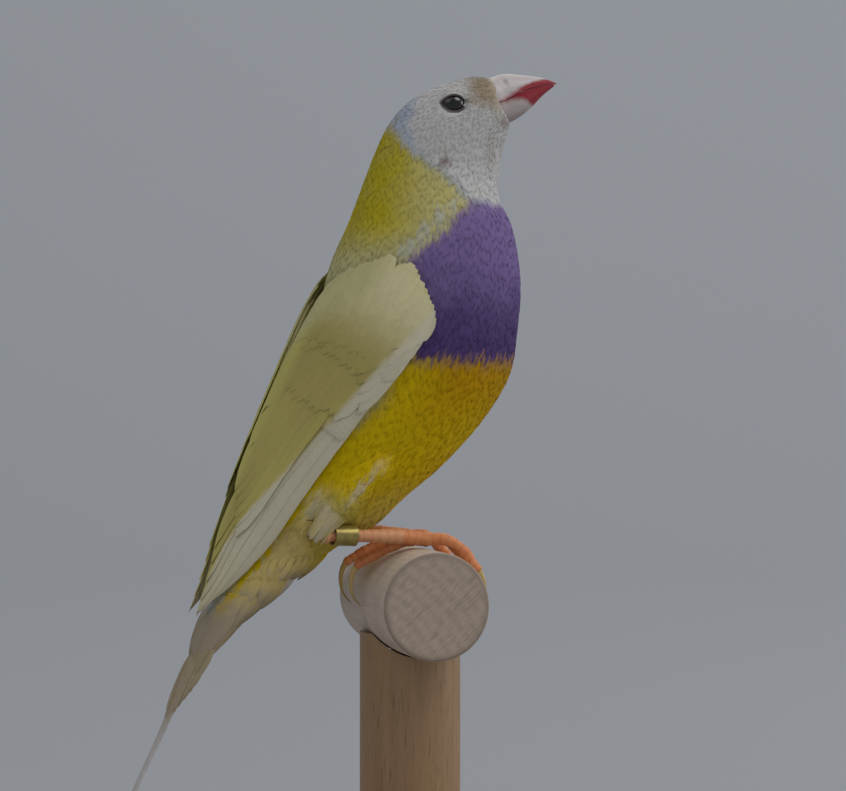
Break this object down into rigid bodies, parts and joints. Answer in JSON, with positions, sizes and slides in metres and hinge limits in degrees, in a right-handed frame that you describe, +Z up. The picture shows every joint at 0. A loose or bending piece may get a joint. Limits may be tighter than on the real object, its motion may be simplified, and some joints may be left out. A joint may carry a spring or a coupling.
{
  "type": "gouldian finch on a dowel perch",
  "caption": "Still life-size Gouldian finch standing upright on a short dowel perch, held by a post on a round wooden display base.",
  "frame": {"origin": "centre of the display base's underside, straight below the axis of the perch, in the middle plane of the bird", "axes": "+X the way the bird looks, +Y towards its left side along the perch, +Z up"},
  "size_m": [0.0892, 0.08, 0.1376],
  "materials": {
    "face": "soft short white feathers",
    "nape": "soft yellow feathers",
    "body": "soft purple breast and orange-yellow belly feathers",
    "rump": "soft pale yellow feathers",
    "wing": "pale olive-yellow vanes",
    "tail": "pale beige vanes",
    "thigh": "soft pale feathers",
    "bill": "ivory horn with a red tip",
    "bill_lower": "pale horn with a red tip",
    "eye": "glossy dark brown",
    "leg_skin": "pink scaly skin",
    "ring": "anodised, dull gold, bare",
    "perch_wood": "bare weathered dowel",
    "stand_wood": "bare beech"
  },
  "bodies": {
    "root": {"head": "face", "neck": "nape", "torso": "body", "tail_coverts": "rump", "tail": "tail", "wing_left": "wing", "wing_right": "wing", "thigh_left": "thigh", "thigh_right": "thigh", "bill_upper": "bill", "bill_lower": "bill_lower", "eye_left": "eye", "eye_right": "eye", "leg_left": "leg_skin", "leg_right": "leg_skin", "foot_left": "leg_skin", "foot_right": "leg_skin", "leg_ring": "ring", "perch": "perch_wood", "stand_post": "stand_wood", "stand_base": "stand_wood"}
  },
  "joints": []
}
